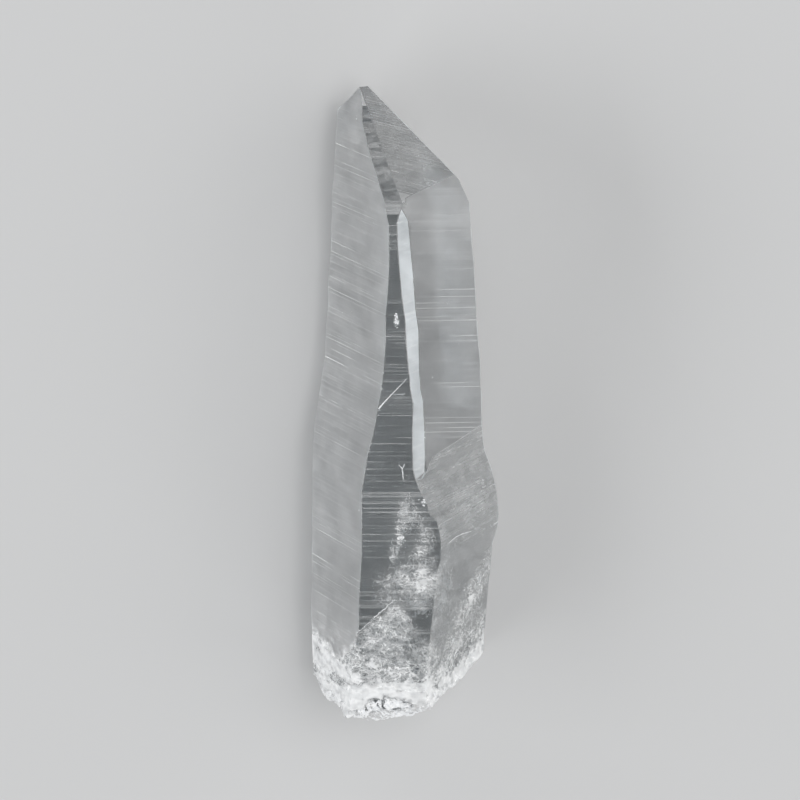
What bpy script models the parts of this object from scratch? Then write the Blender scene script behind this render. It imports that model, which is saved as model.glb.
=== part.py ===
"""Lemurian quartz crystal: one striated, tapering quartz point with a broken base, lying on its broad back face.

Frame: +Y runs along the crystal's c axis towards its tip, +Z is up, and the broad back prism face lies on z = 0.
The construction below is in millimetres in a working frame, and the finished mesh is moved so that its bounding
box stands centred on the origin, and scaled to metres.
"""

import math

import bmesh
import bpy
import mathutils
from mathutils import Vector, noise

# ------------------------------------------------------------------ driving dimensions, mm
MM = 0.001
PRISM_ANGLE = math.radians(60.0)  # angle between neighbouring prism faces' normals
RHOMB_ANGLE = math.radians(51.8)  # angle between a rhombohedral face's normal and the c axis
STATION_STEP = 2.6  # longest run between two cross sections
TOP_Y = 62.0  # the blank prism runs past the tip and the base before they are cut
BASE_Y = -56.0
EDGE_STRIP = 0.35  # narrow strip beside the two edges where the oblique shoulder dies out

# Left silhouette edge: position along the axis, then its X and its height over the back face.
LEFT_EDGE = (
    (62.0, -9.4, 0.6), (52.0, -9.9, 1.5), (49.4, -10.0, 2.4), (46.8, -10.1, 4.1), (42.6, -10.4, 4.9), (36.8, -10.7, 5.2),
    (34.1, -11.0, 4.9), (26.4, -11.1, 3.9), (21.0, -11.6, 3.8), (16.8, -11.6, 3.7), (13.8, -11.9, 3.7),
    (8.6, -12.2, 3.9), (4.5, -12.8, 4.2), (0.4, -13.5, 4.7), (-4.4, -14.0, 5.3), (-8.9, -14.1, 5.7),
    (-13.1, -14.1, 5.9), (-25.2, -14.3, 6.2), (-30.9, -14.4, 6.4), (-38.0, -14.2, 6.5), (-56.0, -13.6, 6.6),
)
# Edge between the left prism face and the clear front face, X along the axis.
FRONT_LEFT_EDGE = (
    (62.0, 1.05), (52.0, 0.1), (49.4, -0.55), (46.8, -1.65), (42.6, -2.4), (35.8, -3.0), (33.1, -2.4), (26.9, -2.4),
    (23.1, -2.6), (19.5, -2.9), (15.9, -2.9), (11.2, -3.2), (8.4, -3.5), (4.8, -4.1), (0.9, -4.8),
    (-2.0, -5.6), (-6.0, -6.2), (-7.6, -6.5), (-17.8, -6.5), (-23.8, -6.9), (-29.1, -7.0), (-33.0, -7.6),
    (-38.0, -8.2), (-56.0, -8.6),
)
# Foot of the bevel, where the clear front face ends; below the shoulder it is the edge of the lower right face.
BEVEL_FOOT = (
    (62.0, 1.9), (52.0, 1.0), (46.8, 0.0), (40.0, -0.2), (37.2, -0.25), (33.5, -1.2), (29.8, -1.1), (23.7, -0.6), (22.5, -0.5),
    (19.0, 0.0), (14.8, 0.2), (11.7, 0.5), (8.1, 0.8), (5.9, 1.2), (2.7, 1.1), (-1.5, 1.1), (-4.8, 1.2),
    (-6.4, 1.7), (-7.8, 2.3), (-9.5, 3.2), (-11.5, 3.8), (-12.3, 4.7), (-13.7, 5.1), (-15.4, 5.4),
    (-18.6, 5.4), (-20.8, 4.8), (-25.3, 4.4), (-29.7, 3.9), (-35.2, 3.5), (-56.0, 2.4),
)
# Top of the bevel, where the raised right front face starts.
BEVEL_TOP = (
    (62.0, 2.3), (52.0, 1.4), (46.8, 0.4), (40.0, 0.1), (37.5, 0.0), (32.6, 0.6), (29.0, 0.9), (25.9, 1.2), (21.1, 1.5), (17.5, 2.0),
    (11.6, 2.1), (8.4, 2.3), (6.5, 2.7), (2.0, 2.9), (-2.1, 3.0), (-4.6, 2.9),
)
# Level of the clear front face over the back face, and of the bevel's top.
FRONT_LEVEL = ((62.0, 18.7), (36.5, 18.8), (0.0, 19.2), (-40.0, 19.6), (-56.0, 19.6))
RAISED_LEVEL = (
    (62.0, 16.6), (41.0, 17.8), (37.5, 18.35), (33.0, 19.35), (29.0, 19.95), (25.0, 20.2), (5.0, 20.4),
    (-2.1, 20.5), (-4.6, 20.3),
)
RAISED_FALL = 0.06  # the raised face falls towards the right by this much per millimetre
# Right silhouette edge, as X and height: high beside the raised face, then low beside the lower right face.
RIGHT_EDGE_HIGH = (
    (62.0, 7.2), (39.3, 9.25), (36.3, 9.5), (30.8, 9.8), (28.0, 10.1), (20.6, 10.5), (17.1, 10.7),
    (12.9, 11.1), (7.5, 11.3), (2.7, 11.4),
)
RIGHT_EDGE_LOW = (
    (2.7, 11.4, 19.4), (0.3, 11.6, 14.2), (-2.1, 11.8, 9.6), (-4.6, 12.0, 6.6), (-6.4, 12.3, 4.9),
    (-9.0, 13.2, 3.7), (-12.5, 14.0, 3.3), (-16.7, 14.4, 3.1), (-18.4, 14.3, 3.1), (-21.4, 13.5, 3.2),
    (-25.7, 13.1, 3.4), (-31.6, 12.6, 3.5), (-37.6, 12.2, 3.6), (-56.0, 11.8, 3.6),
)
# The oblique edge across the raised face, from the right silhouette down to the bevel.
SHOULDER_EDGE = ((2.7, 11.05), (0.3, 7.6), (-2.5, 3.35), (-4.6, 3.2))
# The hidden right side: a steep face down to this height, then the face that leans in under the crystal.
RIGHT_MIDDLE = ((62.0, 1.2, 8.0), (10.0, 1.2, 8.6), (2.7, 1.0, 8.4), (0.3, 0.9, 6.6), (-2.1, 0.8, 4.6),
                (-4.6, 0.7, 3.0), (-6.4, 0.7, 2.4), (-9.0, 0.8, 1.9), (-56.0, 0.9, 1.8))
# Termination planes: a point on each, and its outward normal.
FRONT_RHOMB = ((0.0, 36.5, 18.8), (0.0, math.cos(RHOMB_ANGLE), math.sin(RHOMB_ANGLE)))
RAISED_RHOMB = ((-0.15, 37.3, 18.3), (-0.2, 0.703, 1.0))
CUTS = (
    ((-4.4, 50.5, 8.05), (0.72, 0.57, -0.29)),  # right back rhombohedral face
    ((7.3, 41.1, 17.36), (0.9, 0.4, -0.1)),  # small steep face at its lower end
    ((-7.2, 51.8, 7.2), (-0.72, 0.62, -0.28)),  # left back rhombohedral face
    ((-6.0, 51.1, 6.95), (0.0, 0.618, -0.786)),  # back rhombohedral face
)
# The broken base: a surface y = f(x, z), made of shell-like hollows that meet in sharp ridges.
BREAK_CELL = 0.7  # pitch of the broken surface
BREAK_LEVEL = -45.2  # where the ridges between the hollows would end
BREAK_HOLLOWS = (  # X and Z of each hollow's middle, its radius and its depth
    (-9.5, 14.5, 6.0, 1.5), (-2.5, 12.0, 7.0, 2.3), (4.2, 13.5, 6.5, 2.2), (8.5, 6.0, 6.8, 2.0),
    (1.0, 4.5, 7.5, 2.6), (-7.5, 5.0, 7.5, 2.0), (12.5, 1.5, 4.5, 1.8), (-13.0, 7.0, 4.5, 1.4),
    (-4.1, 20.6, 2.7, 2.9), (-1.0, 19.6, 3.0, 1.9), (-7.6, 20.4, 3.0, 1.1), (3.0, 19.4, 2.8, 2.1),
    (6.4, 15.8, 2.6, 2.3), (9.6, 10.8, 2.7, 2.3),
)
BREAK_SEED = Vector((3.7, 11.3, 5.9))


def along(table, y, column=1):
    """The value of a table at a position along the axis, by straight runs between its rows."""
    if y >= table[0][0]:
        return table[0][column]
    for upper, lower in zip(table, table[1:]):
        if y >= lower[0]:
            share = (upper[0] - y) / (upper[0] - lower[0])
            return upper[column] + share * (lower[column] - upper[column])
    return table[-1][column]


def stations():
    """Positions of the cross sections: each row of the tables that shape the outline, with long runs divided."""
    found = set()
    for table in (LEFT_EDGE, FRONT_LEFT_EDGE, BEVEL_FOOT, BEVEL_TOP, RAISED_LEVEL, RIGHT_EDGE_HIGH, RIGHT_EDGE_LOW):
        found |= {row[0] for row in table}
    marks = []
    for y in sorted(found, reverse=True):
        if not marks or marks[-1] - y > 0.45:
            marks.append(y)
    marks[-1] = BASE_Y
    runs = []
    for upper, lower in zip(marks, marks[1:]):
        count = max(1, math.ceil((upper - lower) / STATION_STEP))
        runs += [upper + (lower - upper) * i / count for i in range(count)]
    return runs + [BASE_Y]


def section(y):
    """The nine corners of the cross section at y, from the left silhouette over the front and back underneath."""
    front = along(FRONT_LEVEL, y)
    left = (along(LEFT_EDGE, y), along(LEFT_EDGE, y, 2))
    front_left = (along(FRONT_LEFT_EDGE, y), front)
    foot = (along(BEVEL_FOOT, y), front)
    if y >= RIGHT_EDGE_LOW[0][0]:
        top = (along(BEVEL_TOP, y), along(RAISED_LEVEL, y))
        right_x = along(RIGHT_EDGE_HIGH, y)
        right = (right_x, top[1] - RAISED_FALL * (right_x - top[0]))
        shoulder_x = right_x - EDGE_STRIP
        shoulder = (shoulder_x, top[1] - RAISED_FALL * (shoulder_x - top[0]) + 0.02)
    elif y >= BEVEL_TOP[-1][0]:
        top = (along(BEVEL_TOP, y), along(RAISED_LEVEL, y))
        right = (along(RIGHT_EDGE_LOW, y), along(RIGHT_EDGE_LOW, y, 2))
        shoulder_x = along(SHOULDER_EDGE, y)
        shoulder = (shoulder_x, top[1] - RAISED_FALL * (shoulder_x - top[0]) + 0.02)
    else:
        right = (along(RIGHT_EDGE_LOW, y), along(RIGHT_EDGE_LOW, y, 2))
        fall = (front - right[1]) / (right[0] - foot[0])
        run = min(1.0, (BEVEL_TOP[-1][0] - y) / 1.8)  # the bevel dies out over this run
        level = along(RAISED_LEVEL, y)
        high = (1.7 - 1.0 * run, (level - front) * (1 - run))
        top = (foot[0] + high[0], front - fall * high[0] * run + high[1])
        shoulder = (top[0] + EDGE_STRIP, top[1] - fall * EDGE_STRIP * run)
    inset, height = along(RIGHT_MIDDLE, y), along(RIGHT_MIDDLE, y, 2)
    middle = (right[0] - inset, height)
    right_foot = (middle[0] - height * math.tan(PRISM_ANGLE / 2), 0.0)
    left_foot = (left[0] + left[1] * math.tan(PRISM_ANGLE / 2), 0.0)
    return (left, front_left, foot, top, shoulder, right, middle, right_foot, left_foot)


def prism_blank():
    """The blank: unlike cross sections joined one to the next, closed at both ends."""
    mesh = bmesh.new()
    rings = []
    for y in stations():
        rings.append([mesh.verts.new((x, y, z)) for x, z in section(y)])
    for upper, lower in zip(rings, rings[1:]):
        for i in range(len(upper)):
            j = (i + 1) % len(upper)
            mesh.faces.new((upper[i], upper[j], lower[j], lower[i]))
    for ring in (rings[0], list(reversed(rings[-1]))):
        cap = mesh.faces.new(ring)
        bmesh.ops.triangulate(mesh, faces=[cap])
    bmesh.ops.recalc_face_normals(mesh, faces=mesh.faces)
    return mesh


def cut_by_plane(mesh, point, normal):
    """Removes what lies outside the plane and closes the cut."""
    bmesh.ops.bisect_plane(
        mesh, geom=mesh.verts[:] + mesh.edges[:] + mesh.faces[:], plane_co=point, plane_no=normal, clear_outer=True, dist=1e-4
    )
    rim = [edge for edge in mesh.edges if edge.is_boundary]
    bmesh.ops.holes_fill(mesh, edges=rim, sides=0)


def object_from(mesh, name, collection):
    data = bpy.data.meshes.new(name)
    mesh.to_mesh(data)
    mesh.free()
    obj = bpy.data.objects.new(name, data)
    collection.objects.link(obj)
    return obj


def wedge_cutter():
    """What lies over both front termination planes, the lower one on the left and the raised one on the right."""
    mesh = bmesh.new()
    bmesh.ops.create_cube(mesh, size=1.0)
    bmesh.ops.scale(mesh, vec=(60.0, 60.0, 60.0), verts=mesh.verts)
    bmesh.ops.translate(mesh, vec=(0.0, 62.0, 20.0), verts=mesh.verts)
    for point, normal in (FRONT_RHOMB, RAISED_RHOMB):
        cut_by_plane(mesh, point, [-n for n in normal])
    bmesh.ops.recalc_face_normals(mesh, faces=mesh.faces)
    return mesh


def break_height(x, z):
    """Where the broken base lies at (x, z): it slants up to the right, and its rim has crushed away in small chips."""
    point = Vector((x, 0.0, z)) + BREAK_SEED
    bend = 0.9 * noise.noise(point * 0.22)  # keeps the hollows from being round
    hollows = 0.0
    for i, (hx, hz, radius, depth) in enumerate(BREAK_HOLLOWS):
        away = math.hypot(x - hx + bend, 1.15 * (z - hz) - bend) / radius
        ripple = 0.035 * radius * math.sin(away * 9.0 + i) * min(1.0, away)
        hollows = max(hollows, depth * (1.0 - away * away) + 0.35 * ripple)
    y = BREAK_LEVEL + hollows + 0.13 * max(0.0, x + 1.0) + 0.2 * max(0.0, x - 4.0) + 0.05 * (19.0 - z)
    seeds = noise.voronoi(point / 2.3)[0]
    y += 0.55 * (seeds[1] - seeds[0]) - 0.3  # small chips
    y += 0.22 * noise.noise(point * 0.8)
    front = max(0.0, z - 17.6) / 2.0
    y += 1.3 * min(1.5, front) ** 1.5
    right = max(0.0, x - 9.5) / 3.0
    y += 1.1 * min(1.4, right) ** 1.5
    left = max(0.0, -11.0 - x) / 2.8
    y += 1.4 * min(1.4, left) ** 1.5
    return y


def break_cutter():
    """A block whose upper end is the broken surface."""
    mesh = bmesh.new()
    across, deep = 46.0, 34.0
    columns, rows = int(across / BREAK_CELL), int(deep / BREAK_CELL)
    bmesh.ops.create_grid(mesh, x_segments=columns, y_segments=rows, size=0.5)
    for vert in mesh.verts:
        x, z = vert.co.x * across, vert.co.y * deep + 10.0
        shift = [0.3 * BREAK_CELL * noise.noise(Vector((x, level, z)) * 0.8) for level in (3.3, 27.9)]
        x, z = x + shift[0], z + shift[1]
        vert.co = Vector((x, break_height(x, z), z))
    upper = mesh.faces[:]
    made = bmesh.ops.extrude_face_region(mesh, geom=upper)
    for item in made["geom"]:
        if isinstance(item, bmesh.types.BMVert):
            item.co.y = -66.0
    bmesh.ops.recalc_face_normals(mesh, faces=mesh.faces)
    bmesh.ops.triangulate(mesh, faces=mesh.faces[:])
    return mesh


def quartz():
    """Clear, faintly bluish quartz with a satin skin."""
    material = bpy.data.materials.new("quartz")
    material.use_nodes = True
    shader = material.node_tree.nodes["Principled BSDF"]
    shader.inputs["Base Color"].default_value = (0.93, 0.95, 0.96, 1.0)
    shader.inputs["Metallic"].default_value = 0.0
    shader.inputs["Roughness"].default_value = 0.3
    shader.inputs["IOR"].default_value = 1.544
    shader.inputs["Transmission Weight"].default_value = 1.0
    return material


def main():
    for obj in list(bpy.data.objects):
        bpy.data.objects.remove(obj, do_unlink=True)
    scene = bpy.context.scene
    crystal_set = bpy.data.collections.new("lemurian_quartz_crystal")
    cutter_set = bpy.data.collections.new("cutters")
    scene.collection.children.link(crystal_set)
    scene.collection.children.link(cutter_set)

    blank = prism_blank()
    for point, normal in CUTS:
        cut_by_plane(blank, point, normal)
    bmesh.ops.triangulate(blank, faces=blank.faces[:])
    bmesh.ops.recalc_face_normals(blank, faces=blank.faces)
    crystal = object_from(blank, "crystal", crystal_set)

    for mesh, name in ((wedge_cutter(), "termination_cutter"), (break_cutter(), "break_cutter")):
        cutter = object_from(mesh, name, cutter_set)
        cutter.hide_render = True
        cutter.display_type = "WIRE"
        boolean = crystal.modifiers.new(name, "BOOLEAN")
        boolean.operation = "DIFFERENCE"
        boolean.solver = "EXACT"
        boolean.object = cutter

    # The cuts are baked, so that the whole crystal can be measured, centred over the origin and scaled.
    graph = bpy.context.evaluated_depsgraph_get()
    baked = bpy.data.meshes.new_from_object(crystal.evaluated_get(graph))
    crystal.modifiers.clear()
    crystal.data = baked
    baked.name = "crystal"
    for cutter in list(cutter_set.objects):
        bpy.data.objects.remove(cutter, do_unlink=True)

    tidy = bmesh.new()
    tidy.from_mesh(baked)
    bmesh.ops.remove_doubles(tidy, verts=tidy.verts, dist=0.004)
    bmesh.ops.dissolve_degenerate(tidy, edges=tidy.edges, dist=0.002)
    bmesh.ops.triangulate(tidy, faces=tidy.faces[:])
    low = Vector([min(v.co[i] for v in tidy.verts) for i in range(3)])
    high = Vector([max(v.co[i] for v in tidy.verts) for i in range(3)])
    centre = Vector(((low.x + high.x) / 2, (low.y + high.y) / 2, low.z))
    bmesh.ops.transform(tidy, matrix=mathutils.Matrix.Scale(MM, 4) @ mathutils.Matrix.Translation(-centre), verts=tidy.verts)
    bmesh.ops.recalc_face_normals(tidy, faces=tidy.faces)
    tidy.to_mesh(baked)
    tidy.free()
    print("crystal spans", [round(v, 3) for v in high - low], "mm, moved by", [round(-v, 4) for v in centre], "mm,", len(baked.polygons), "faces")

    baked.materials.clear()
    baked.materials.append(quartz())


main()
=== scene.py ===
"""Looks of the lemurian quartz crystal: growth lines, worn edges, crushed base, inclusions, materials, light and camera."""

import math
import time

import bmesh
import bpy
import numpy as np
from mathutils import Matrix, Vector, kdtree, noise
from mathutils.bvhtree import BVHTree


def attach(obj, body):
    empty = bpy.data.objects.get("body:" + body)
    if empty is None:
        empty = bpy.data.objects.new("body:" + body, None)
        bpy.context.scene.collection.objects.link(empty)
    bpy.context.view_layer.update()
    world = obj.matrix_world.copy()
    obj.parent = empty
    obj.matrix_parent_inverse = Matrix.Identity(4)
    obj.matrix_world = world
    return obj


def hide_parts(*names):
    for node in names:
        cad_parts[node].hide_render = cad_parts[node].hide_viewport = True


START = time.time()
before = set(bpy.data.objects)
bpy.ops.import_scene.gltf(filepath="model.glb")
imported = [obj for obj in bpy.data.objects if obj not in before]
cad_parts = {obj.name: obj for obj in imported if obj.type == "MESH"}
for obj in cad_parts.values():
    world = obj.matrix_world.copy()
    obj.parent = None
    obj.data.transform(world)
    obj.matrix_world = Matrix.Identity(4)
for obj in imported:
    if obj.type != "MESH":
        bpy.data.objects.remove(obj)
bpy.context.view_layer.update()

# ------------------------------------------------------------------ frame and units
# Shapes below are worked out in millimetres in the crystal's own growth frame: +Y along the c axis to the tip,
# +Z up from the face it lies on. SHIFT_Y moves that frame to the part's, whose origin is mid-length.
MM = 0.001
SHIFT_Y = -3.0589
TILT = math.radians(17.0)  # the camera leans this far towards the tip
AIM = Vector((-0.75, 3.68, 10.0))
CAMERA_AWAY = 700.0
PIXELS_PER_MM = 6.649
BEND = 0.19  # how far a sight line runs towards the base per mm of depth once it is inside the crystal
rng = np.random.default_rng(20240611)


def to_world(point):
    return Vector((point[0] * MM, (point[1] + SHIFT_Y) * MM, point[2] * MM))


def seen_at(u, v, z, depth=0.0):
    """The point seen at a place of the 800 x 800 view, on the surface at height z, or this deep below it."""
    x = (u - 405.0) / PIXELS_PER_MM
    y = ((404.0 - v) / PIXELS_PER_MM + z * math.sin(TILT)) / math.cos(TILT)
    return Vector((x, y - BEND * depth, z - depth))


EYE = AIM + Vector((0, math.sin(TILT), math.cos(TILT))) * CAMERA_AWAY
VIEW_UP = Vector((0, math.cos(TILT), -math.sin(TILT)))
VIEW_BACK = Vector((0, math.sin(TILT), math.cos(TILT)))


def surface_at(u, v):
    """The point and normal of the crystal's surface seen at a place of the 800 x 800 view, or None."""
    target = AIM + Vector((1, 0, 0)) * ((u - 400.0) / PIXELS_PER_MM) + VIEW_UP * ((400.0 - v) / PIXELS_PER_MM)
    point, normal, _, _ = solid.ray_cast(EYE, (target - EYE).normalized())
    return (point, normal) if point is not None else None


def hum(x, y, z):
    """Smooth noise from 0 to 1."""
    return 0.5 + 0.5 * noise.noise(Vector((x, y, z)))


def smooth(low, high, value):
    t = np.clip((value - low) / (high - low), 0.0, 1.0)
    return t * t * (3 - 2 * t)


# ------------------------------------------------------------------ regions of the surface
SATIN, CLEAR, BEVEL, RHOMB, RAISED, LOWER, BACK, BROKEN, BAND, REST, EDGE = range(11)
RAISED_RHOMB = Vector((-0.2, 0.703, 1.0)).normalized()
FRONT_RHOMB = Vector((0.0, math.cos(math.radians(51.8)), math.sin(math.radians(51.8))))
TOP_FACES = [Vector(n).normalized() for n in ((0.72, 0.57, -0.29), (0.9, 0.4, -0.1), (-0.72, 0.62, -0.28), (0.0, 0.618, -0.786))]
EDGE_SIZE = 0.07  # worn width of the crystal's edges, from the edge to each side


def side_planes(mesh):
    """Normals and offsets of the smooth side faces where they run down into the broken base."""
    found = []
    for face in mesh.faces:
        ys = [v.co.y for v in face.verts]
        if max(ys) > -38.5 and min(ys) < -33 and abs(face.normal.y) < 0.2 and face.calc_area() > 1.5:
            found.append((face.normal.copy(), face.normal.dot(face.verts[0].co)))
    return found


def region_of(face, sides):
    normal, centre = face.normal, face.calc_center_median()
    if centre.y < -36.0:
        for side, offset in sides:
            if side.dot(normal) > 0.9985 and abs(normal.dot(centre) - offset) < 0.12:
                break
        else:
            return BROKEN
    if normal.dot(RAISED_RHOMB) > 0.9985:
        return RHOMB
    if normal.dot(FRONT_RHOMB) > 0.9985:
        return BAND
    if any(normal.dot(n) > 0.999 for n in TOP_FACES):
        return BACK
    if normal.z < -0.97:
        return REST
    turn = math.degrees(math.atan2(normal.x, normal.z))
    if -78 < turn <= -48 and (centre.x < -2.2 or centre.y > 30):
        return SATIN
    if -60 < turn <= -8 and centre.x > -2.6:
        return BEVEL
    if -8 < turn < 2.0 and centre.x < 6:
        return CLEAR
    if -8 < turn < 20:
        return RAISED
    if 20 <= turn < 85:
        return LOWER
    return BACK


def cad_mesh():
    """The CAD crystal in millimetres in the growth frame, welded."""
    mesh = bmesh.new()
    mesh.from_mesh(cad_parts["crystal"].data)
    bmesh.ops.transform(mesh, matrix=Matrix.Translation((0, -SHIFT_Y, 0)) @ Matrix.Scale(1 / MM, 4), verts=mesh.verts)
    bmesh.ops.remove_doubles(mesh, verts=mesh.verts, dist=1e-3)
    mesh.normal_update()
    return mesh


mesh = cad_mesh()
solid = BVHTree.FromBMesh(mesh)
layer = mesh.faces.layers.int.new("region")
sides = side_planes(mesh)
for face in mesh.faces:
    face[layer] = region_of(face, sides)

# Flat faces are made whole, then every edge between them is worn to a narrow chamfer.
whole = [f for f in mesh.faces if min(v.co.y for v in f.verts) > -38.2]
bmesh.ops.dissolve_limit(
    mesh, angle_limit=math.radians(0.4), use_dissolve_boundaries=False,
    verts=list({v for f in whole for v in f.verts}), edges=list({e for f in whole for e in f.edges}), delimit=set(),
)
mesh.normal_update()
for face in mesh.faces:
    if face[layer] != BROKEN:
        face[layer] = region_of(face, sides)


def is_worn(edge):
    """A real edge of the crystal, between two kinds of face or at a clear fold, above the broken base."""
    if not edge.is_manifold or min(v.co.y for v in edge.verts) < -36.0:
        return False
    kinds = {f[layer] for f in edge.link_faces}
    least = 9 if len(kinds) == 2 else 60 if kinds == {LOWER} else 26
    return edge.calc_face_angle(0) > math.radians(least)


sharp = [e for e in mesh.edges if is_worn(e)]
worn = bmesh.ops.bevel(
    mesh, geom=sharp, offset=EDGE_SIZE, offset_type="OFFSET", segments=1, profile=0.5, affect="EDGES",
    clamp_overlap=False, material=-1, loop_slide=True, miter_outer="SHARP", miter_inner="SHARP",
)
for face in worn["faces"]:
    face[layer] = EDGE
mesh.normal_update()


def slice_faces(mesh, faces, point, normal):
    edges = {e for f in faces for e in f.edges}
    verts = {v for f in faces for v in f.verts}
    return bmesh.ops.bisect_plane(mesh, geom=list(verts) + list(edges) + list(faces), plane_co=point, plane_no=normal, dist=2e-4)


# ------------------------------------------------------------------ growth lines
# The stronger lines, as the crystal shows them: place along the axis, riser width, run, size, and where each shows.
def window_y(v):
    return seen_at(400, v, 19.0).y


def raised_y(v):
    return seen_at(450, v, 20.0).y


LINE_REACH = {SATIN: 0.45, CLEAR: 0.3, LOWER: 0.2, RAISED: 0.15, RHOMB: 0.4}  # how much further than elsewhere a line runs before it fades


class Lines:
    """Growth steps across the crystal, each a short riser that faces the tip and a long ramp back out."""

    def __init__(self, low, high, named=()):
        places, widths, runs = [], [], []
        y = high
        while y > low:
            crowd = 0.5 + 0.5 * noise.noise(Vector((y * 0.11, 4.1, 9.3))) + 0.35 * noise.noise(Vector((y * 0.41, 1.7, 2.2)))
            gap = 0.2 + 0.5 * min(1.0, max(0.0, 1.0 - crowd)) * rng.uniform(0.6, 1.5)
            places.append(y)
            widths.append(min(0.42 * gap, rng.uniform(0.07, 0.15)))
            runs.append(rng.uniform(0.35, 1.0) ** 2 * 4.0 + 0.3)
            y -= gap
        count = len(places)
        size = rng.lognormal(math.log(0.03), 0.7, count)
        group = np.array([max(0.0, 0.5 + 1.1 * noise.noise(Vector((p * 0.16, 7.7, 3.1)))) for p in places])
        size = np.clip(size * (0.3 + group), 0.005, 0.12)
        self.strength = {}
        for region, factor, share in ((SATIN, 1.0, 0.95), (CLEAR, 0.6, 0.7), (BEVEL, 0.15, 0.3), (RAISED, 0.45, 0.5), (LOWER, 0.85, 0.85), (BACK, 0.9, 0.9), (BAND, 0.5, 0.6), (REST, 0.25, 0.4)):
            self.strength[region] = factor * (rng.uniform(0, 1, count) < share) * rng.uniform(0.3, 1.25, count)
        for y, width, run, depth, shares in named:
            near = int(np.argmin(np.abs(np.array(places) - y)))
            places[near] = y
            widths[near] = width
            runs[near] = run
            size[near] = depth
            for region in self.strength:
                self.strength[region][near] = shares.get(region, 0.3)
        order = np.argsort(np.array(places))[::-1]
        self.y = np.array(places)[order]
        self.width = np.array(widths)[order]
        self.run = np.array(runs)[order]
        self.size = size[order]
        self.strength = {region: values[order] for region, values in self.strength.items()}
        for index in range(1, count):  # a riser never reaches into the next one
            room = (self.y[index - 1] - self.y[index]) * 0.9
            self.width[index] = max(0.03, min(self.width[index], room))
            self.width[index - 1] = max(0.03, min(self.width[index - 1], room))
        self.wave = rng.uniform(4.0, 22.0, count)
        self.phase = rng.uniform(0.0, 2 * math.pi, count)
        self.bias = rng.uniform(-0.2, 0.55, count)

    def rings(self):
        return np.sort(np.concatenate([self.y - self.width / 2, self.y + self.width / 2]))[::-1]

    def fade(self, region, across):
        """How much of each line shows at this distance across the face: they start and stop along their length."""
        wave = np.sin(2 * math.pi * across / self.wave[None] + self.phase[None] + 2.1 * region)
        return np.clip(0.5 + LINE_REACH.get(region, 0.0) + self.bias[None] + 0.8 * wave, 0, 1)

    def depth(self, region, y, across):
        """How far in the surface lies at y, for points at a distance across the face."""
        y, across = np.asarray(y)[:, None], np.asarray(across)[:, None]
        past = y - (self.y - self.width / 2)[None]
        rise = np.clip(past / self.width[None], 0, 1)
        fall = np.clip(1 - (past - self.width[None]) / self.run[None], 0, 1)
        return (rise * fall * self.fade(region, across) * (self.size * self.strength[region])[None]).sum(1)

    def riser(self, region, y, across):
        """How strong a riser is at y, nought between them."""
        y, across = np.asarray(y)[:, None], np.asarray(across)[:, None]
        on = np.abs(y - self.y[None]) < self.width[None] * 0.5
        return (on * self.fade(region, across) * np.minimum(self.size * self.strength[region] / 0.05, 1.6)[None]).max(1)


def cut_rings(mesh, faces, places, point_of, normal, measure):
    """Slices the faces at each place in turn, from the highest down, keeping only what still reaches lower."""
    active = list(faces)
    span = {f: (min(map(measure, f.verts)), max(map(measure, f.verts))) for f in active}
    for place in places:
        crossed = [f for f in active if span[f][0] < place - 1e-4 and span[f][1] > place + 1e-4]
        if not crossed:
            continue
        key = set(crossed)
        active = [f for f in active if f not in key and span[f][0] < place]
        out = slice_faces(mesh, crossed, point_of(place), normal)
        for item in out["geom"]:
            if isinstance(item, bmesh.types.BMFace) and item.is_valid:
                span[item] = (min(map(measure, item.verts)), max(map(measure, item.verts)))
                if span[item][0] < place - 1e-4:
                    active.append(item)


def faces_in(mesh, *regions):
    return [f for f in mesh.faces if f[layer] in regions]


SMOOTH = (SATIN, CLEAR, BEVEL, RAISED, LOWER, BACK, BAND, REST)
corner = [surface_at(u, v)[0] for u, v in ((400.0, 192.5), (419.0, 196.5))]
corner_normal = (corner[0] - EYE).cross(corner[1] - EYE).normalized()
if corner_normal.y > 0:
    corner_normal.negate()
slice_faces(mesh, faces_in(mesh, RHOMB), corner[0], corner_normal)
BAND_TOP = surface_at(360.0, 105.0)[0].y
slice_faces(mesh, faces_in(mesh, BAND), (0, BAND_TOP, 0), (0, 1, 0))
for x in np.arange(-13.9, 14.5, 0.95):
    slice_faces(mesh, [f for f in faces_in(mesh, *SMOOTH, RHOMB) if abs(f.normal.x) < 0.93], (float(x), 0, 0), (1, 0, 0.02))
for z in np.arange(1.3, 20.0, 1.3):
    slice_faces(mesh, [f for f in faces_in(mesh, SATIN, LOWER, BACK) if abs(f.normal.x) > 0.75], (0, 0, float(z)), (0.02, 0, 1))

named = [
    (window_y(v), 0.12, 0.9, 0.05, {CLEAR: power * 0.8, SATIN: 0.5, RAISED: 0.12, BACK: 0.5, LOWER: 0.6})
    for v, power in (
        (296, 0.7), (308, 1.0), (333, 1.0), (338, 1.1), (344, 1.2), (348, 1.2), (357, 1.0), (397, 0.6), (431, 1.2), (437, 1.1),
        (405, 0.6), (413, 0.8), (419, 0.7), (443, 0.9), (451, 1.0), (455, 0.7), (461, 0.9), (468, 1.0), (474, 0.7), (480, 0.9), (487, 0.8), (494, 1.2), (502, 1.0), (507, 1.2), (511, 1.1), (516, 0.8), (527, 1.0), (533, 0.9), (540, 0.8), (550, 0.7), (556, 0.6),
    )
] + [
    (raised_y(v), 0.14, 1.2, 0.06, {RAISED: power, CLEAR: 0.25, SATIN: 0.6, BACK: 0.6})
    for v, power in ((222, 0.9), (228, 0.6), (292, 1.0), (299, 0.8), (305, 1.2), (310, 0.8), (322, 1.4), (337, 1.0), (342, 0.6), (383, 0.9), (402, 0.4), (422, 0.9), (427, 1.0), (431, 0.8), (436, 0.6))
]
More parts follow.
